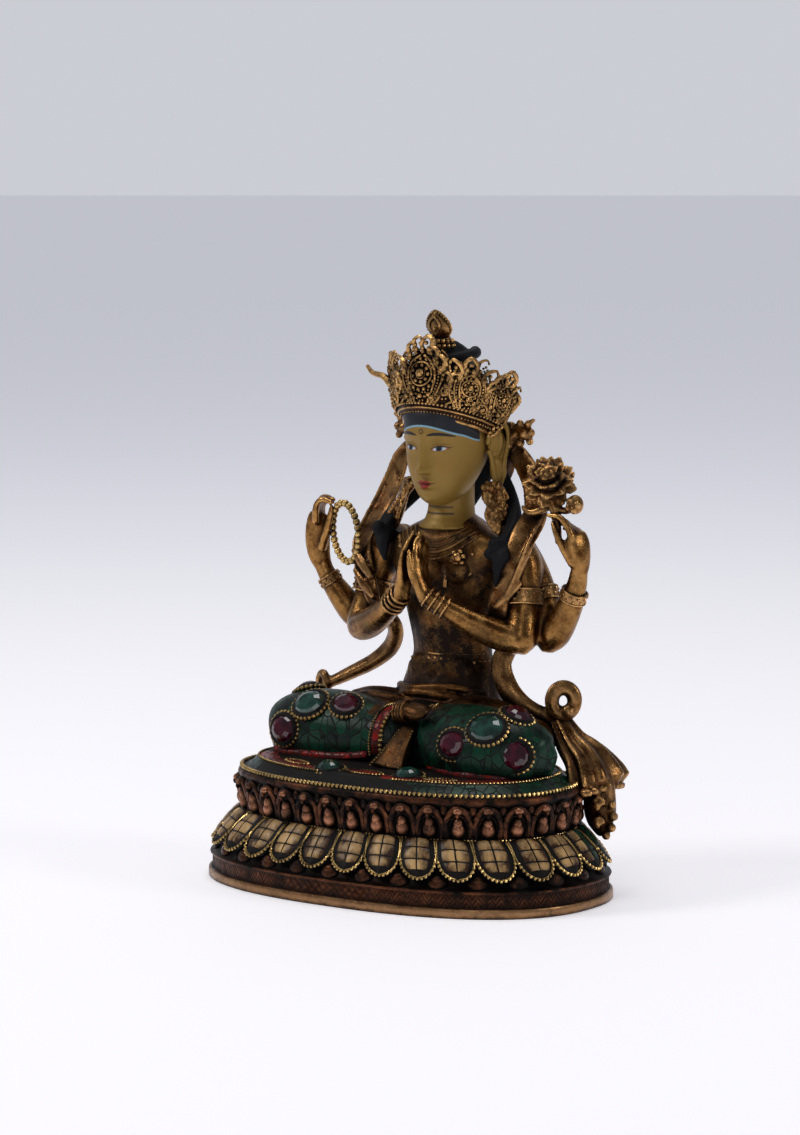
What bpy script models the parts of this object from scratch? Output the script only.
"""A four-armed seated bodhisattva on a double lotus throne.

Metres, +Z up, origin at the centre of the throne's underside. The figure looks along -Y, and its
own left hand side is at +X.
"""

import math

import bmesh
import bpy
from mathutils import Matrix, Vector

# The throne's plan: a squared ellipse, widest at its foot
BASE_WIDTH = 0.1606
BASE_DEPTH = 0.1014
PLAN_POWER = 2.37
DEPTH_STEP = 0.78

# The throne's profile, from the floor up
FOOT_BAND = 0.0036
FRET_BAND = 0.0050
FRET_RECESS = 0.0016
RIM_HEIGHT = 0.0012
RIM_RECESS = 0.0006
LOWER_LOTUS = 0.0157
LOWER_LOTUS_INSET = 0.0135
WAIST_INSET = 0.0150
UPPER_LOTUS = 0.0125
CORNICE_HEIGHT = 0.0037
CORNICE_INSET = 0.0116
CUSHION_RISE = 0.0038
CUSHION_SLOPE = 0.0070

# The two rows of lotus petals
LOWER_PETALS = 28
LOWER_PETAL_SHARE = 1.0
LOWER_PETAL_TIP_INSET = 0.0016
LOWER_PETAL_SINK = 0.0008
LOWER_PETAL_CROWN = 0.0014
UPPER_PETALS = 34
UPPER_PETAL_WIDTH = 0.0084
UPPER_PETAL_BULGE = 0.0032

# The seated figure, from the cushion to the tip of the finial
FIGURE_HEIGHT = 0.1645
SHARES_IN_HEIGHT = 164.5

# Jewels and beads
STONE_HEIGHT = 0.0028
STONE_SEAT = 0.0012
BEZEL_WALL = 0.0013
BEAD_DIAMETER = 0.0032
BEAD_PITCH = 0.0023
BEADS_IN_LOOP = 25
CROWN_WALL = 0.0014

# What lies between two pieces that touch
CLEARANCE = 0.0003

BASE_COLUMNS = 36
OVERSHOOT = 0.002

# EXACT leaves open edges where many thin skins meet, so the joins use the other solver
SOLVER = "MANIFOLD"

FOOT_TOP = FOOT_BAND
FRET_TOP = FOOT_TOP + FRET_BAND
RIM_TOP = FRET_TOP + RIM_HEIGHT
LOWER_LOTUS_TOP = RIM_TOP + LOWER_LOTUS
UPPER_LOTUS_TOP = LOWER_LOTUS_TOP + UPPER_LOTUS
CORNICE_TOP = UPPER_LOTUS_TOP + CORNICE_HEIGHT
SEAT = CORNICE_TOP + CUSHION_RISE

# The figure's pose is written in shares of its height, about a millimetre each
SHARE = FIGURE_HEIGHT / SHARES_IN_HEIGHT
LEFT, RIGHT = 1, -1

# The share of the figure's triangles that is kept once its parts are joined
FIGURE_SHARE = 0.66
# Points nearer than this become one before that
SEAM_MERGE = 0.0001

# Faces that meet at less than this many degrees become one
FLAT_ANGLE = 1.0


def clear_scene():
    for obj in list(bpy.data.objects):
        bpy.data.objects.remove(obj, do_unlink=True)
    collection = bpy.data.collections.new("seated_bodhisattva")
    bpy.context.scene.collection.children.link(collection)
    return collection


def material(name, colour, roughness, metallic):
    made = bpy.data.materials.new(name)
    made.use_nodes = True
    shader = made.node_tree.nodes["Principled BSDF"]
    shader.inputs["Base Color"].default_value = (*colour, 1.0)
    shader.inputs["Roughness"].default_value = roughness
    shader.inputs["Metallic"].default_value = metallic
    return made


def place(x, y, z):
    """A point of the figure, from shares of its height above the middle of the seat."""
    return Vector((x * SHARE, y * SHARE, z * SHARE + SEAT))


def add_mesh(name, bm):
    bmesh.ops.recalc_face_normals(bm, faces=bm.faces)
    mesh = bpy.data.meshes.new(name)
    bm.to_mesh(mesh)
    bm.free()
    obj = bpy.data.objects.new(name, mesh)
    bpy.context.scene.collection.objects.link(obj)
    return obj


def loft(name, rings):
    """A closed skin over rings that hold the same number of points."""
    bm = bmesh.new()
    rows = [[bm.verts.new(point) for point in ring] for ring in rings]
    count = len(rows[0])
    for low, high in zip(rows, rows[1:]):
        for i in range(count):
            j = (i + 1) % count
            bm.faces.new((low[i], low[j], high[j], high[i]))
    bm.faces.new(rows[0][::-1])
    bm.faces.new(rows[-1])
    return add_mesh(name, bm)


def smooth_stations(stations, steps):
    """Stations with steps - 1 more between each two, on a smooth curve through them."""
    ends = [stations[0], *stations, stations[-1]]
    result = []
    for a, b, c, d in zip(ends, ends[1:], ends[2:], ends[3:]):
        for step in range(steps):
            t = step / steps
            result.append(tuple(
                0.5 * (2 * q + (r - p) * t + (2 * p - 5 * q + 4 * r - s) * t * t
                       + (3 * q - p - 3 * r + s) * t ** 3)
                for p, q, r, s in zip(a, b, c, d)))
    result.append(tuple(stations[-1]))
    return result


def sweep(name, stations, facing=(0, -1, 0), sides=8, steps=1, flutes=0, flute_depth=0.0):
    """A skin along stations of x, y, z, half width and half depth, its depth towards facing."""
    stations = smooth_stations(stations, steps) if steps > 1 else stations
    centres = [place(*s[:3]) for s in stations]
    rings = []
    for i, station in enumerate(stations):
        before, after = centres[max(i - 1, 0)], centres[min(i + 1, len(centres) - 1)]
        along = (after - before).normalized()
        depth = Vector(facing) - along * along.dot(Vector(facing))
        depth.normalize()
        width = along.cross(depth)
        ring = []
        for side in range(sides):
            angle = math.tau * (side + 0.5) / sides
            swell = 1 + flute_depth * math.cos(flutes * angle)
            ring.append(centres[i] + SHARE * swell * (
                width * station[3] * math.cos(angle) + depth * station[4] * math.sin(angle)))
        rings.append(ring)
    return loft(name, rings)


def mirrored(stations, side):
    return [(side * x, *rest) for x, *rest in stations]


def ball(name, centre, radii, segments=8, rings=6, tilt=0.0):
    """A scaled sphere, tilted forward about X by tilt degrees."""
    bpy.ops.mesh.primitive_uv_sphere_add(segments=segments, ring_count=rings, radius=1)
    obj = bpy.context.object
    obj.name = name
    turn = Matrix.Rotation(math.radians(tilt), 4, "X")
    size = Matrix.Diagonal((*[r * SHARE for r in radii], 1))
    obj.data.transform(Matrix.Translation(place(*centre)) @ turn @ size)
    return obj


def bead(name, centre, radius):
    bpy.ops.mesh.primitive_ico_sphere_add(subdivisions=1, radius=radius, location=place(*centre))
    obj = bpy.context.object
    obj.name = name
    obj.data.transform(obj.matrix_world)
    obj.matrix_world = Matrix.Identity(4)
    return obj


def hoop(name, centre, axis, radii, wire, segments=8, sides=4):
    """A ring of wire round an axis, radii along its own two directions."""
    bpy.ops.mesh.primitive_torus_add(
        major_segments=segments, minor_segments=sides, major_radius=1, minor_radius=0.2)
    obj = bpy.context.object
    obj.name = name
    for vertex in obj.data.vertices:
        flat = Vector((vertex.co.x, vertex.co.y, 0))
        out = flat.normalized()
        rim = Vector((out.x * radii[0], out.y * radii[1], 0))
        vertex.co = rim + (flat - out) * (wire / 0.2) + Vector((0, 0, vertex.co.z * wire / 0.2))
    turn = Vector(axis).to_track_quat("Z", "Y").to_matrix().to_4x4()
    size = Matrix.Scale(SHARE, 4)
    obj.data.transform(Matrix.Translation(place(*centre)) @ turn @ size)
    return obj


def move_to(obj, collection):
    for holder in list(obj.users_collection):
        holder.objects.unlink(obj)
    collection.objects.link(obj)


def combine(target, others, operation, solver="EXACT"):
    """The target joined with, or cut by, the others, which are used up."""
    operands = bpy.data.collections.new("operands")
    bpy.context.scene.collection.children.link(operands)
    for other in others:
        move_to(other, operands)
    boolean = target.modifiers.new("combine", "BOOLEAN")
    boolean.operation = operation
    boolean.operand_type = "COLLECTION"
    boolean.collection = operands
    boolean.solver = solver
    graph = bpy.context.evaluated_depsgraph_get()
    mesh = bpy.data.meshes.new_from_object(target.evaluated_get(graph))
    target.modifiers.clear()
    target.data = mesh
    for other in others:
        bpy.data.objects.remove(other, do_unlink=True)
    bpy.data.collections.remove(operands)


def thin_out(obj, share):
    """Keeps a share of an object's triangles, those that carry the most of its form."""
    bm = bmesh.new()
    bm.from_mesh(obj.data)
    bmesh.ops.triangulate(bm, faces=bm.faces)
    bmesh.ops.remove_doubles(bm, verts=bm.verts, dist=SEAM_MERGE)
    bmesh.ops.dissolve_degenerate(bm, edges=bm.edges, dist=SEAM_MERGE)
    bm.to_mesh(obj.data)
    bm.free()
    decimate = obj.modifiers.new("thin_out", "DECIMATE")
    decimate.ratio = share
    graph = bpy.context.evaluated_depsgraph_get()
    mesh = bpy.data.meshes.new_from_object(obj.evaluated_get(graph))
    obj.modifiers.clear()
    obj.data = mesh
    trim_fins(mesh)


def trim_fins(mesh):
    """Takes off the triangles that hang on a closed skin by one side, which thinning can leave."""
    bm = bmesh.new()
    bm.from_mesh(mesh)
    fins = [face for face in bm.faces if any(edge.is_boundary for edge in face.edges)]
    while fins:
        bmesh.ops.delete(bm, geom=fins, context="FACES")
        fins = [face for face in bm.faces if any(edge.is_boundary for edge in face.edges)]
    bm.to_mesh(mesh)
    bm.free()


def finish(obj, name, look, collection):
    """Gives a node its name and material, and cleans up after the Booleans."""
    bm = bmesh.new()
    bm.from_mesh(obj.data)
    bmesh.ops.dissolve_limit(bm, angle_limit=math.radians(FLAT_ANGLE), verts=bm.verts, edges=bm.edges)
    bmesh.ops.triangulate(bm, faces=bm.faces)
    bm.to_mesh(obj.data)
    bm.free()
    obj.name = obj.data.name = name
    obj.data.materials.clear()
    obj.data.materials.append(look)
    obj.data.shade_smooth()
    obj.data.set_sharp_from_angle(angle=math.radians(40))
    move_to(obj, collection)
    return obj


# The throne

def plan_point(angle, inset, z):
    """A point of the throne's outline, at an angle from +X, set in from the foot."""
    half_width = BASE_WIDTH / 2 - inset
    half_depth = BASE_DEPTH / 2 - inset * DEPTH_STEP
    c, s = math.cos(angle), math.sin(angle)
    x = half_width * math.copysign(abs(c) ** (2 / PLAN_POWER), c)
    y = half_depth * math.copysign(abs(s) ** (2 / PLAN_POWER), s)
    return Vector((x, y, z))


def foot_point(angle):
    return plan_point(angle, 0, 0)


def even_angles(curve, count, phase=0.0, samples=1440):
    """Angles at which count equal steps round a closed curve fall, from its lowest angle on."""
    start = -math.pi / 2
    points = [curve(start + math.tau * i / samples) for i in range(samples + 1)]
    run = [0.0]
    for a, b in zip(points, points[1:]):
        run.append(run[-1] + (b - a).length)
    angles = []
    i = 0
    for k in range(count):
        goal = run[-1] * (k + phase) / count
        while run[i + 1] < goal:
            i += 1
        part = (goal - run[i]) / (run[i + 1] - run[i])
        angles.append(start + math.tau * (i + part) / samples)
    return angles


def outward(angle, inset):
    """The outline's outward direction and its direction along the edge."""
    step = 0.002
    along = plan_point(angle + step, inset, 0) - plan_point(angle - step, inset, 0)
    along.normalize()
    return Vector((along.y, -along.x, 0)), along


def throne_edge(y, inset):
    """How far the outline reaches along X at a depth y."""
    half_depth = BASE_DEPTH / 2 - inset * DEPTH_STEP
    rest = 1 - min(abs(y) / half_depth, 1) ** PLAN_POWER
    return (BASE_WIDTH / 2 - inset) * rest ** (1 / PLAN_POWER)


def throne_body():
    profile = [
        (0.0, 0.0),
        (FOOT_TOP, 0.0),
        (FOOT_TOP + FRET_RECESS / 4, FRET_RECESS),
        (FRET_TOP - FRET_RECESS / 4, FRET_RECESS),
        (FRET_TOP, RIM_RECESS),
        (RIM_TOP, RIM_RECESS),
        (RIM_TOP + RIM_HEIGHT / 2, FRET_RECESS * 2),
        (LOWER_LOTUS_TOP, LOWER_LOTUS_INSET + CLEARANCE),
        (LOWER_LOTUS_TOP + RIM_RECESS, WAIST_INSET),
        (UPPER_LOTUS_TOP - RIM_HEIGHT, WAIST_INSET - RIM_HEIGHT),
        (UPPER_LOTUS_TOP, CORNICE_INSET),
        (CORNICE_TOP, CORNICE_INSET + RIM_RECESS),
        (SEAT, CORNICE_INSET + CUSHION_SLOPE),
    ]
    angles = [math.tau * i / BASE_COLUMNS for i in range(BASE_COLUMNS)]
    return loft("throne", [[plan_point(a, inset, z) for a in angles] for z, inset in profile])


def lower_petal(angle, half_pitch):
    """A tongue that hangs over the lower slope, crowned across and rounded at its tip."""
    rows = [(0.0, 0.84), (0.45, 1.04), (0.8, 0.92), (1.0, 0.42)]
    across = [-1.0, -0.5, 0.5, 1.0]
    rings = []
    out, along = outward(angle, LOWER_LOTUS_INSET)
    fall = Vector((0, 0, 1)) * 0.75 + out * 0.65
    fall.normalize()
    for v, width in rows:
        inset = LOWER_LOTUS_INSET + (LOWER_PETAL_TIP_INSET - LOWER_LOTUS_INSET) * v
        z = LOWER_LOTUS_TOP - LOWER_LOTUS * 0.76 * v ** 1.35
        middle = plan_point(angle, inset, z)
        ring = []
        for u in across:
            edge = middle + along * (u * width * half_pitch)
            lift = -LOWER_PETAL_SINK if abs(u) == 1 else LOWER_PETAL_CROWN * (1 - 0.7 * v)
            ring.append(edge + fall * lift)
        rings.append(ring)
    return loft("lower_petal", rings)


def upper_petal(angle):
    """An upright petal: a drop below, pinched under a small hood."""
    rows = [(0.04, 0.45), (0.34, 0.95), (0.6, 0.55), (0.92, 1.0)]
    out, along = outward(angle, WAIST_INSET)
    rings = []
    for v, swell in rows:
        z = LOWER_LOTUS_TOP + UPPER_LOTUS * v
        middle = plan_point(angle, WAIST_INSET, z)
        half = UPPER_PETAL_WIDTH / 2 * swell
        depth = UPPER_PETAL_BULGE * (0.45 + 0.55 * swell)
        rings.append([
            middle + along * half - out * OVERSHOOT / 2,
            middle + along * half * 0.5 + out * depth,
            middle - along * half * 0.5 + out * depth,
            middle - along * half - out * OVERSHOOT / 2,
        ])
    return loft("upper_petal", rings)


def make_lotus_base():
    body = throne_body()
    angles = even_angles(foot_point, LOWER_PETALS, 0.5)
    pieces = []
    for i, angle in enumerate(angles):
        after = angles[(i + 1) % LOWER_PETALS]
        pitch = (plan_point(after, LOWER_LOTUS_INSET / 2, 0)
                 - plan_point(angle, LOWER_LOTUS_INSET / 2, 0)).length
        pieces.append(lower_petal(angle, pitch / 2 * LOWER_PETAL_SHARE))
    pieces += [upper_petal(angle) for angle in even_angles(foot_point, UPPER_PETALS, 0.5)]
    combine(body, pieces, "UNION", SOLVER)
    set_jewels(body, cushion_jewels())
    return body


# The figure

TORSO = [
    (0, 26, -2, 24, 19), (0, 27, 16, 22.6, 16), (0, 27.6, 24.4, 20.8, 14.2),
    (0, 27.6, 25.6, 22, 15.4), (0, 27.8, 28.4, 21, 14.6), (0, 28, 29.4, 19.2, 12.8),
    (0, 28.5, 36, 16.6, 11.4), (0, 28.5, 37, 17.6, 12.4), (0, 28.5, 39, 17.4, 12.2),
    (0, 28.5, 40, 16.3, 11.2), (0, 28, 51, 18, 12.5), (0, 28, 62, 21.5, 13.5),
    (0, 27.5, 72, 25, 14), (0, 27.5, 79, 25, 12.5), (0, 27.5, 84.5, 17, 10.5), (0, 27, 88, 9.5, 9),
]
NECK = [(0, 27, 80, 12.4, 12.4), (0, 26.8, 85.4, 12.6, 12), (0, 27.4, 87.4, 9.4, 9.4),
        (0, 27.6, 92, 8.2, 8.2), (0, 27.2, 102, 8.4, 8.4)]
RIGHT_LEG = [
    (-4, 1, 8, 11, 11), (-6, 1, 8, 12.6, 12.8), (-9, 2, 8, 12, 12), (-14, 2.6, 7.5, 13.4, 13),
    (-25, 3.5, 7, 15.8, 14.6), (-38, 4, 7, 16.4, 15.4), (-50, 3.4, 6.5, 15.6, 14),
    (-58, 3, 6, 12.6, 10.5), (-62, 3, 5, 7.4, 5),
]
LEFT_LEG = [
    (2, 12, 7, 12, 9), (8, 8, 7, 14, 12.5), (16, 4.5, 7, 15.4, 14.4), (27, 1.5, 7, 16.4, 16),
    (38, -0.6, 7, 16.4, 17), (48, 0, 6.5, 15.4, 14.8), (56, 2, 6, 12, 10.4), (60, 3, 5, 7, 5),
]
LEGS = {LEFT: LEFT_LEG, RIGHT: RIGHT_LEG}
THIGH = [(8, 26, 10, 11, 13), (26, 22, 10, 11, 13), (46, 14, 9, 9, 10)]
MAIN_UPPER_ARM = [
    (27, 28, 79, 6.5, 7), (31, 28, 73, 7.4, 7.4), (33.6, 26.6, 65, 6.5, 6.8),
    (33.8, 26.4, 64, 7.6, 7.9), (34.4, 26, 61, 7.4, 7.7), (34.6, 25.8, 60, 6.2, 6.5),
    (36, 21, 47, 5.6, 6.2), (36, 20, 43.2, 3.4, 3.6),
]
MAIN_FOREARM = [
    (37.5, 20.5, 45, 3.6, 4), (33, 18, 46.5, 5.4, 5.4), (22, 12, 51, 5, 4.8),
    (13, 7.4, 56.4, 3.9, 3.8), (12, 7, 57, 4.9, 4.8), (8.6, 5.2, 59.4, 4.6, 4.5),
    (7.6, 4.6, 60, 3.5, 3.3), (4.6, 3.2, 62, 3.2, 2.8),
]
MAIN_HAND = [(5.6, 3.4, 60, 3, 2.6), (3.4, 3, 66, 4.6, 2.2), (2.6, 4.2, 74, 5, 1.9),
             (2.1, 5.6, 81, 4, 1.6), (1.7, 6.6, 86.6, 1.6, 0.9)]
BACK_UPPER_ARM = [
    (26, 33, 78, 6.5, 6.5), (31, 33, 70, 6.8, 6.6), (36.2, 32.4, 62, 6.3, 6.1),
    (36.5, 32.3, 61, 7.4, 7.2), (38, 31.8, 58.4, 7.2, 7), (38.4, 31.6, 57.4, 6.1, 5.9),
    (42, 29, 47, 5.6, 5.8), (43, 28, 43, 3.6, 3.8),
]
LEFT_BACK_FOREARM = [
    (42, 28.5, 44.5, 3.8, 4), (46.5, 28, 49, 5.4, 5.4), (53, 27, 59, 4.6, 4.4),
    (54, 26.8, 61, 5.4, 5.2), (56, 26.4, 65, 5, 4.8), (56.6, 26.2, 66, 3.7, 3.5),
    (58, 25.5, 71, 3.3, 2.8), (58.5, 25, 78, 4.8, 2.6), (56.5, 24, 85, 4.6, 2.2),
    (53.5, 23, 90, 3.2, 1.6),
]
RIGHT_BACK_FOREARM = [
    (-41, 29, 46, 3.8, 4), (-45.5, 28, 50, 5.2, 5.2), (-51.5, 26, 57, 4.6, 4.4),
    (-54, 24.8, 61, 3.8, 3.6), (-54.4, 24.6, 61.6, 4.7, 4.5), (-55.4, 24.2, 63.2, 4.6, 4.4),
    (-55.8, 24, 64, 3.5, 3.2), (-57.5, 23, 71, 4.6, 3), (-57.6, 22, 79, 4.8, 2.8),
    (-56.2, 21, 85, 4, 2.2), (-53.5, 20.5, 89, 2.4, 1.6),
]
HEAD = [
    (-22, -9.5, 3.6, 3.5), (-19.5, -8, 7.6, 8), (-13, -4.5, 11.6, 13), (-5, -1.5, 14.3, 16.3),
    (4, 0, 15.4, 17.8), (12, 0.5, 15, 17.6), (18, 1, 11.8, 14), (22, 1.5, 5.5, 7),
]
NOSE = [(0, -16.4, 1.5, 1.1, 1.0), (0, -18.2, -3.5, 1.6, 1.6), (0, -18.2, -7.2, 2.5, 2.2),
        (0, -16.2, -9, 1.8, 1.4)]
HEAD_CENTRE = (0, 26.8, 117)
HEAD_TILT = 9.0
TOPKNOT = [
    (0, 29, 134, 10, 10), (0, 28, 139.5, 9.4, 9.4), (0, 26, 146, 8, 8), (0, 23.6, 150, 5.6, 5.6),
    (0, 22, 151.8, 3.2, 3.2), (0, 21.6, 152.4, 4.4, 4.2), (0, 21, 153.8, 4.4, 4.2),
    (0, 20.8, 154.4, 3, 2.4), (0, 19.6, 158, 4.7, 3.2), (0, 18.6, 161, 3.7, 2.6),
    (0, 17.6, 164.5, 0.6, 0.5),
]
LOCK = [(11, 40, 112, 4, 3), (20, 38, 99, 4.6, 3), (26, 28, 86, 4, 2.8), (26.5, 17, 79, 3.6, 2.4),
        (25.4, 14, 68, 1, 0.8)]
EAR_DROP = [(17.4, 28, 98, 2.4, 1.6), (20, 26.4, 93, 4.6, 1.9), (21.4, 25, 88.5, 3.4, 1.6),
            (22, 24.4, 84.5, 0.8, 0.6)]
FOOT = [
    (-9, -3.4, 15.4, 4.8, 4.4), (-6, -4.6, 16.4, 4.8, 4.4), (-5.6, -4.8, 16.6, 5.6, 5.2),
    (-3, -5.6, 17.2, 5.6, 5.2), (-2.6, -5.8, 17.3, 4.7, 4.3), (5, -6.4, 18.4, 4.6, 4),
    (13, -5.2, 18.4, 3, 2.2),
]
SASH_FOLD = [(-20, 16, 24, 3, 1.6), (-6, 11, 22.4, 4.4, 2), (8, 11, 23, 4.4, 2), (22, 15, 24.5, 3, 1.6)]
NECKLACE = [(-13, 18.2, 80, 1.4, 1.6), (-10, 15.4, 69, 1.4, 1.6), (0, 14.4, 60, 1.6, 1.6),
            (10, 15.4, 69, 1.4, 1.6), (13, 18.2, 80, 1.4, 1.6)]
BOW = [(13, 36, 116, 1.6, 1.6), (19, 37, 117, 2.6, 2), (24, 36, 120.5, 3.4, 1.8),
       (28.5, 34, 124.5, 1.4, 1)]
CROWN_RIBBON = [
    (13, 38, 117, 2, 1.4), (22, 37.5, 109, 4.2, 1.3), (32, 34, 98, 5, 1.3), (38.5, 28.5, 90, 4.8, 1.3),
    (37.5, 23, 84, 4.4, 1.3), (33, 19.4, 76, 4.4, 1.3), (30, 18.6, 66, 4.6, 1.4),
    (26, 18, 55, 3.8, 1.5), (21, 18.6, 45, 2.2, 1.2),
]
RIGHT_TAIL = [(-34, 24, 52, 2.6, 2.2), (-26.5, 28, 45.5, 3, 2.4), (-30, 31, 37.5, 3.2, 2.4),
              (-38, 31, 31, 2.8, 2.2), (-49, 30, 25.4, 2.4, 2), (-58, 28, 21, 2, 1.7)]
LEFT_TAIL = [(35, 24, 46, 3.6, 2.4), (31.5, 24.6, 34, 4, 2.4), (32, 25, 24, 3.6, 2.4),
             (40, 26, 20, 2.6, 2.2), (50, 26, 18.6, 2.2, 2)]
EAR_TASSEL = [(-17, 26, 101, 1.8, 1.4), (-26, 25, 93.5, 2.2, 1.4), (-36, 22, 85.5, 2, 1.4)]
THUMB = [(2.6, 0.6, 66, 1.5, 1.3), (1.6, -1.4, 72, 1.4, 1.2), (1.3, -1.4, 77, 0.7, 0.6)]
LEFT_BACK_THUMB = [(57.5, 22, 76, 1.6, 1.5), (53.5, 20.4, 84, 1.4, 1.3), (50.6, 20.6, 90, 0.9, 0.8)]
RIGHT_BACK_THUMB = [(-54.5, 20, 74, 1.7, 1.6), (-50.5, 18.6, 82, 1.5, 1.4), (-49, 19, 90.8, 1.1, 1.0)]
BEAD_LOOP = (-42.5, 19, 80.5)
FLOWER = (46, 23, 102)
FLOWER_PETALS = 7


def head_place(x, y, z):
    """A point of the head's own frame, -Y out of its face, tilted forward on the neck."""
    turn = Matrix.Rotation(math.radians(HEAD_TILT), 3, "X")
    return Vector(HEAD_CENTRE) + turn @ Vector((x, y, z))


def head():
    """A smooth egg with a plain nose, brow, lips and long-lobed ears."""
    skull = [(*head_place(0, y, z), width, depth) for z, y, width, depth in HEAD]
    nose = [(*head_place(*station[:3]), *station[3:]) for station in NOSE]
    pieces = [
        sweep("skull", skull, sides=12),
        sweep("nose", nose, sides=5),
        ball("lips", head_place(0, -15.2, -13.4), (3.2, 1.8, 1.8), 6, 4),
    ]
    for side in (LEFT, RIGHT):
        pieces.append(ball("eyelid", head_place(side * 6.4, -14.4, -1), (3.8, 2.2, 1.9), 6, 4))
        pieces.append(ball("ear", head_place(side * 14.4, 3.4, -6.6), (3.2, 3.8, 8.4), 6, 5))
    return pieces


def hair():
    """The cap of hair, the topknot with its collar and finial, and the locks on the shoulders."""
    pieces = [
        ball("hair_cap", (0, 30, 120.5), (16, 16.4, 17.6), 10, 6),
        sweep("topknot", TOPKNOT, sides=8),
        ball("knot_end", (7.6, 27, 144), (2.2, 2.2, 2), 6, 4),
    ]
    pieces += [sweep("lock", mirrored(LOCK, side), sides=4) for side in (LEFT, RIGHT)]
    return pieces


def earrings():
    pieces = []
    for side in (LEFT, RIGHT):
        pieces.append(ball("ear_boss", (side * 16.6, 28.6, 100), (3.4, 4.6, 5), 6, 4))
        pieces.append(sweep("ear_drop", mirrored(EAR_DROP, side), facing=(side, -0.6, 0), sides=5))
    return pieces


def legs():
    """Folded legs under smooth cloth, with hems, a foot with its anklet and the sash's fold."""
    pieces = []
    for side, leg in LEGS.items():
        pieces.append(sweep("shin", leg, sides=10))
        pieces.append(sweep("thigh", mirrored(THIGH, side), sides=8))
    pieces.append(ball("lap", (0, 12, 7), (19, 17, 15), 8, 4))
    pieces.append(sweep("foot", FOOT, facing=(0, -1, 1), sides=6))
    pieces.append(sweep("sash_fold", SASH_FOLD, facing=(0, 0, 1), sides=4))
    return pieces


def arms():
    """Two joined in front of the chest and two raised behind, with armlets and bracelets."""
    pieces = []
    for side in (LEFT, RIGHT):
        pieces.append(sweep("upper_arm", mirrored(MAIN_UPPER_ARM, side), sides=6))
        pieces.append(sweep("forearm", mirrored(MAIN_FOREARM, side), sides=6))
        pieces.append(sweep("hand", mirrored(MAIN_HAND, side), facing=(side, 0, 0), sides=6))
        pieces.append(sweep("thumb", mirrored(THUMB, side), sides=4))
        pieces.append(sweep("back_upper_arm", mirrored(BACK_UPPER_ARM, side), sides=6))
    pieces.append(sweep("left_back_forearm", LEFT_BACK_FOREARM, facing=(1, -0.4, 0), sides=6))
    pieces.append(sweep("right_back_forearm", RIGHT_BACK_FOREARM, facing=(0.5, -1, 0), sides=6))
    return pieces + fingers()


def fingers():
    """The fingers of the two raised hands."""
    pieces = [
        sweep("left_back_thumb", LEFT_BACK_THUMB, sides=4),
        sweep("right_back_thumb", RIGHT_BACK_THUMB, sides=4),
    ]
    for i, y in enumerate((21.5, 23.8, 26.1)):
        top = 91.6 - i * 1.6
        pieces.append(sweep("left_back_finger", [
            (57.2, y, 83, 1.5, 1.4), (55.2, y - 0.4, 88, 1.3, 1.2), (50.8, y - 1, top, 0.9, 0.8)], sides=4))
    for y, reach in ((19.2, -47.5), (22, -48.5)):
        pieces.append(sweep("right_back_finger", [
            (-55.5, y, 86, 1.6, 1.5), (-53, y, 91.5, 1.5, 1.4), (reach, y - 0.6, 91.8, 1.2, 1.2)], sides=4))
    return pieces


def jewellery():
    """The long necklace with its pendant, and the belt's ornament."""
    return [
        sweep("long_necklace", NECKLACE, sides=4),
        ball("pendant", (0, 13.9, 57.2), (3.2, 2.2, 3.6), 6, 4),
        ball("belt_ornament", (0, 16.6, 37), (3.2, 1.6, 2.2), 6, 4),
    ]


def ribbons():
    """The ribbons from the crown over the shoulders, and the shawl's tails that fall to the seat."""
    pieces = []
    for side in (LEFT, RIGHT):
        pieces.append(sweep("bow", mirrored(BOW, side), sides=4))
        pieces.append(sweep("crown_ribbon", mirrored(CROWN_RIBBON, side), facing=(0, -1, 0.2), sides=4))
    pieces.append(sweep("right_tail", RIGHT_TAIL, sides=5))
    pieces.append(sweep("left_tail", LEFT_TAIL, sides=5))
    pieces.append(sweep("ear_tassel", EAR_TASSEL, sides=4))
    pieces.append(hoop("tail_ring", (51.5, 25, 23.4), (0.59, -0.8, 0), (4.6, 4.6), 2.1, 10, 4))
    pieces.append(hoop("tail_loop", (-60.4, 28.4, 20.4), (-0.4, -0.9, 0), (3, 4.4), 1.6, 8, 4))
    return pieces + [scarf_fan()] + scarf_curl()


def beside_throne(offset, y, z):
    """A place in shares, offset out from the widest part of the throne's upper lotus."""
    edge = throne_edge(y * SHARE, CORNICE_INSET - UPPER_PETAL_BULGE / 2) / SHARE
    return (edge + offset, y, z)


def scarf_fan():
    """The pleated end of the shawl, which spreads over the throne's edge."""
    stations = [
        (48.6, 26.6, 17, 4, 3.4), (*beside_throne(-5.5, 26, 9), 6.4, 4.8),
        (*beside_throne(0.5, 26, 4), 9.6, 5.6), (*beside_throne(4.5, 26, -1.4), 12.6, 6),
        (*beside_throne(6.6, 26, -5.6), 13.6, 6),
    ]
    return sweep("scarf_fan", stations, facing=(0.8, -0.2, 0.7), sides=14, flutes=7, flute_depth=0.16)


def scarf_curl():
    """The rolled end below the fan, with its two spiral knobs."""
    x, y, z = beside_throne(5.6, 25, -14)
    curl = [(x + 1, y, z + 10, 5, 3.6), (x + 0.6, y, z + 2, 6.2, 3.4), (x + 1, y, z - 4, 5.4, 3),
            (x + 2, y, z - 9, 2.4, 1.6)]
    return [
        sweep("curl", curl, sides=6),
        ball("curl_knob", (x + 3, y - 2.6, z + 1.6), (3.2, 2.6, 3.2), 6, 4),
        ball("curl_knob", (x + 3, y - 2.2, z - 5.4), (2.6, 2.2, 2.6), 6, 4),
    ]


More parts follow.
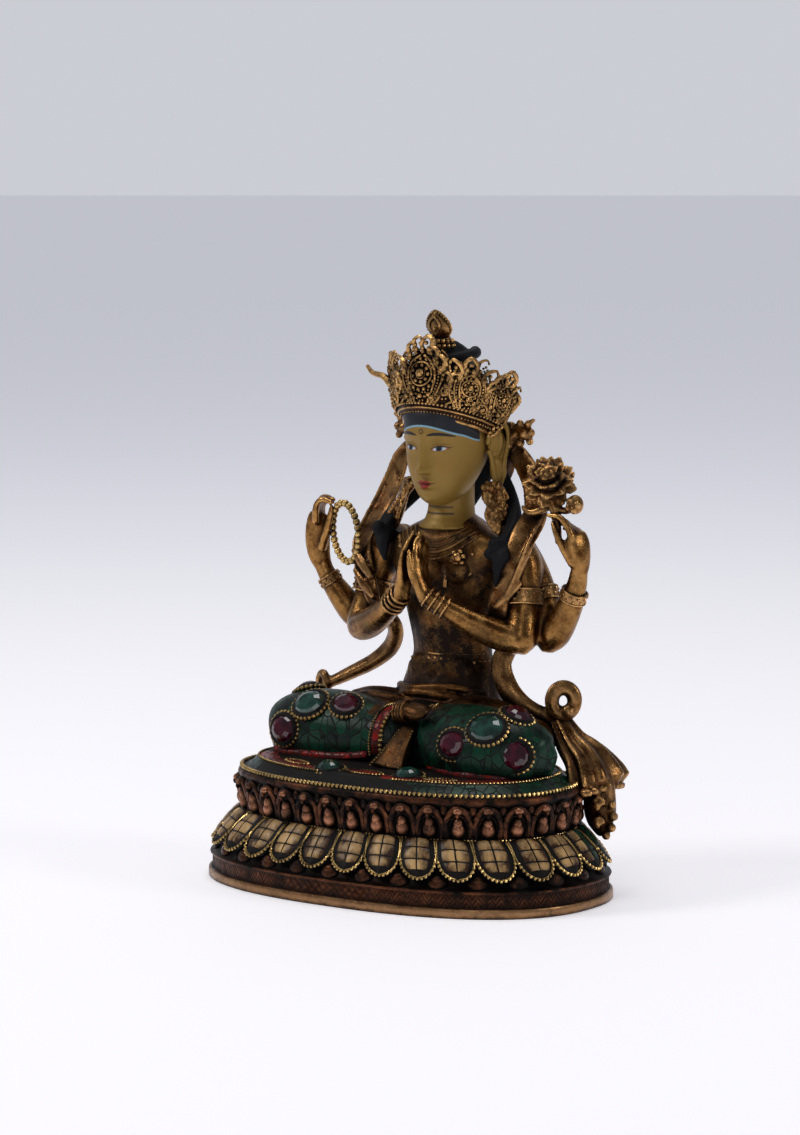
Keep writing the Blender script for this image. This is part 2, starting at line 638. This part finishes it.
def held_flower():
    """The lotus in the raised left hand, on a stem between the fingers."""
    x, y, z = FLOWER
    pieces = [
        sweep("stem", [(51, 22.4, 84, 1.4, 1.4), (49.5, 22.4, 92, 1.8, 1.8), (x, y, z - 3, 3, 3)], sides=5),
        ball("flower_heart", (x, y, z + 2.4), (6.4, 6, 7.6), 8, 5),
        ball("flower_bud", (x + 11, y + 1, z - 6), (3.2, 2.8, 3.8), 6, 4),
        sweep("bud_stem", [(x + 1, y, z - 6, 2, 1.4), (x + 9, y + 0.6, z - 8, 1.6, 1.3)],
              facing=(0, 0, 1), sides=4),
        sweep("leaf", [(x + 1, y, z - 7, 1.8, 1.4), (x - 5, y, z - 9, 2.8, 1.6),
                       (x - 10, y, z - 8, 0.9, 0.7)], facing=(0, 0, 1), sides=4),
    ]
    for i in range(FLOWER_PETALS):
        angle = math.tau * (i + 0.5) / FLOWER_PETALS
        c, s = math.cos(angle), math.sin(angle)
        pieces.append(sweep("flower_petal", [
            (x + 3 * c, y + 3 * s, z - 4, 2.2, 1.4), (x + 8.2 * c, y + 7 * s, z, 4.4, 1.4),
            (x + 10.4 * c, y + 8.6 * s, z + 7, 2.6, 0.9)], facing=(-c, -s, 0.6), sides=4))
    return pieces


# Jewels, their bezels and the prayer beads

# Name, side, distance out along the leg, angle up from its front, length and width
LEG_STONES = [
    ("stone_right_green", RIGHT, 39.9, 46.7, 12.2, 10.0),
    ("stone_right_red_inner", RIGHT, 24.2, 53, 9.4, 8.0),
    ("stone_right_red_low", RIGHT, 49, 9.4, 10.0, 9.4),
    ("stone_right_red_back", RIGHT, 50.5, 104, 9.0, 7.6),
    ("stone_left_green", LEFT, 43.6, 42.3, 12.8, 10.4),
    ("stone_left_red_inner", LEFT, 31.3, 14.9, 10.4, 8.6),
    ("stone_left_red_low", LEFT, 54, 11.2, 10.4, 9.4),
    ("stone_left_red_top", LEFT, 49, 85, 9.6, 8.0),
]
# Name, place on the cushion from its middle, length and width
CUSHION_STONES = [
    ("stone_front_right", -0.0135, -0.0300, 0.0086, 0.0070),
    ("stone_front_left", 0.0192, -0.0266, 0.0086, 0.0074),
]
STONE_SIDES = 8


def leg_surface(side, x, angle):
    """A point and an outward direction on a leg, at an angle up from its front."""
    stations = mirrored(LEGS[side], side)
    low = max(i for i in range(len(stations) - 1) if stations[i][0] <= x)
    a, b = stations[low], stations[low + 1]
    t = (x - a[0]) / (b[0] - a[0])
    _, y, z, half_height, half_depth = [p + (q - p) * t for p, q in zip(a, b)]
    c, s = math.cos(math.radians(angle)), math.sin(math.radians(angle))
    point = place(side * x, y - half_depth * c, z + half_height * s)
    slope = (a[3] - b[3]) / (b[0] - a[0])
    normal = Vector((side * slope, -c / half_depth * half_height, s))
    return point, normal.normalized()


def leg_jewels():
    """Each leg stone's name, its place, the way it faces and its two diameters."""
    frames = []
    for name, side, x, angle, length, width in LEG_STONES:
        point, normal = leg_surface(side, x, angle)
        frames.append((name, point, normal, length * SHARE, width * SHARE))
    return frames


def cushion_jewels():
    tilt = Vector((0, -0.2, 1)).normalized()
    return [(name, Vector((x, y, SEAT)), tilt, length, width)
            for name, x, y, length, width in CUSHION_STONES]


def turned_disc(name, point, normal, rows, length, width):
    """A stack of ovals along normal; each row holds a height and what it adds to the radius."""
    across = Vector((1, 0, 0)) - normal * normal.x
    across.normalize()
    up = normal.cross(across)
    rings = []
    for height, grow in rows:
        ring = []
        for i in range(STONE_SIDES):
            angle = math.tau * (i + 0.5) / STONE_SIDES
            ring.append(point + normal * height
                        + across * (length / 2 + grow) * math.cos(angle)
                        + up * (width / 2 + grow) * math.sin(angle))
        rings.append(ring)
    return loft(name, rings)


def bezel(frame):
    rows = [(-3 * OVERSHOOT, BEZEL_WALL), (STONE_SEAT, BEZEL_WALL)]
    return turned_disc("bezel", frame[1], frame[2], rows, *frame[3:])


def bezel_seat(frame):
    rows = [(-CLEARANCE, CLEARANCE), (STONE_SEAT + OVERSHOOT * 2, CLEARANCE)]
    return turned_disc("bezel_seat", frame[1], frame[2], rows, *frame[3:])


def stone(frame):
    """An oval stone with a girdle and a sloping, faceted crown."""
    name, point, normal, length, width = frame
    rows = [(0.0, 0.0), (STONE_SEAT, 0.0), (STONE_HEIGHT, -width * 0.22)]
    return turned_disc(name, point, normal, rows, length, width)


def set_jewels(body, frames):
    """Adds the bezels to a body and sinks a seat for each stone into them."""
    combine(body, [bezel(frame) for frame in frames], "UNION", SOLVER)
    combine(body, [bezel_seat(frame) for frame in frames], "DIFFERENCE", SOLVER)


def loop_point(angle):
    """A point of the loop of beads that hangs from the pinched fingers."""
    radius = BEAD_PITCH * BEADS_IN_LOOP / math.tau / SHARE
    x, y, z = BEAD_LOOP
    across = radius * 0.76 * math.cos(angle)
    up = radius * 1.2 * math.sin(angle)
    return Vector((x + across - 0.1 * up, y - 0.2 * across, z + up))


def bead_centres():
    return [loop_point(angle) for angle in even_angles(loop_point, BEADS_IN_LOOP)]


def seat_cutter():
    """The room that the throne takes up, with the clearance round it."""
    widest = CORNICE_INSET - UPPER_PETAL_BULGE / 2 - CLEARANCE
    rows = [(-OVERSHOOT, -OVERSHOOT), (RIM_TOP + OVERSHOOT, -OVERSHOOT),
            (LOWER_LOTUS_TOP + CLEARANCE, widest), (SEAT + CLEARANCE, widest)]
    angles = [math.tau * i / BASE_COLUMNS for i in range(BASE_COLUMNS)]
    return loft("seat_cutter", [[plan_point(a, inset, z) for a in angles] for z, inset in rows])


def bead_rooms():
    """What the beads take up, with the clearance round each."""
    return [bead("bead_room", centre, BEAD_DIAMETER / 2 + CLEARANCE) for centre in bead_centres()]


def make_figure():
    body = sweep("torso", TORSO, sides=12)
    pieces = [sweep("neck", NECK, sides=9)]
    pieces += head() + hair() + earrings() + legs() + arms() + jewellery() + ribbons() + held_flower()
    combine(body, pieces, "UNION", SOLVER)
    thin_out(body, FIGURE_SHARE)
    combine(body, [seat_cutter()] + bead_rooms(), "DIFFERENCE", SOLVER)
    set_jewels(body, leg_jewels())
    return body


# The crown

CROWN_SPAN = 104.0
CROWN_LEAVES = (-84, -42, 0, 42, 84)
CROWN_LEAF_HALF_SPAN = 21.0
CROWN_VALLEY = 18.0
CROWN_STEPS = 25
CROWN_TILT = -14.0
ROSETTE_WIDTH = 0.0092
ROSETTE_RISE = 0.0016


def crown_height(angle):
    """How high the crown stands at an angle from its front, in shares."""
    nearest = min(CROWN_LEAVES, key=lambda leaf: abs(leaf - angle))
    off = min(abs(angle - nearest) / CROWN_LEAF_HALF_SPAN, 1)
    leaf = 25.0 - 0.04 * abs(nearest)
    return CROWN_VALLEY + (leaf - CROWN_VALLEY) * (1 - off ** 2.4)


def crown_place(angle, up, out):
    """A place on the flaring strip, up from its lower edge and out from its inner face."""
    c, s = math.cos(math.radians(angle)), math.sin(math.radians(angle))
    reach = out + 0.10 * up + 0.011 * up * up
    turn = Matrix.Rotation(math.radians(CROWN_TILT), 3, "X")
    local = Vector((s * (17.4 + reach), -c * (19.6 + reach), up))
    return Vector((0, 27, 121)) + turn @ local


def make_crown():
    """A band round the brow that opens out into five leaves with bossed rosettes."""
    wall = CROWN_WALL / SHARE
    rings = []
    for i in range(CROWN_STEPS + 1):
        angle = -CROWN_SPAN + 2 * CROWN_SPAN * i / CROWN_STEPS
        high = crown_height(angle)
        corners = ((0, 0), (high, 0), (high, wall), (high * 0.5, wall), (0, wall))
        rings.append([place(*crown_place(angle, up, out)) for up, out in corners])
    band = loft("crown", rings)
    pieces = []
    for leaf in CROWN_LEAVES:
        high = crown_height(leaf)
        low, middle, top = [place(*crown_place(leaf, high * up, wall)) for up in (0.3, 0.52, 0.74)]
        across = Vector((math.cos(math.radians(leaf)), math.sin(math.radians(leaf)), 0))
        normal = across.cross(top - low).normalized()
        rows = [(-CROWN_WALL / 2, 0.0), (ROSETTE_RISE / 2, 0.0), (ROSETTE_RISE, -ROSETTE_WIDTH / 6)]
        pieces.append(turned_disc("rosette", middle, normal, rows, ROSETTE_WIDTH, ROSETTE_WIDTH))
    combine(band, pieces, "UNION", SOLVER)
    return band


def make_beads():
    beads = [bead("bead", centre, BEAD_DIAMETER / 2) for centre in bead_centres()]
    combine(beads[0], beads[1:], "UNION", SOLVER)
    return beads[0]


def main():
    collection = clear_scene()
    copper = material("dark_copper", (0.30, 0.13, 0.07), 0.45, 0.9)
    gilt = material("antique_gilt", (0.46, 0.30, 0.12), 0.4, 0.9)
    bright = material("bright_brass", (0.62, 0.45, 0.18), 0.35, 1.0)
    red = material("ruby_glass", (0.22, 0.02, 0.05), 0.15, 0.0)
    green = material("green_glass", (0.03, 0.20, 0.14), 0.15, 0.0)

    finish(make_lotus_base(), "lotus_base", copper, collection)
    finish(make_figure(), "figure", gilt, collection)
    finish(make_crown(), "crown", bright, collection)
    finish(make_beads(), "prayer_beads", bright, collection)
    for frame in leg_jewels() + cushion_jewels():
        finish(stone(frame), frame[0], red if "red" in frame[0] else green, collection)


main()
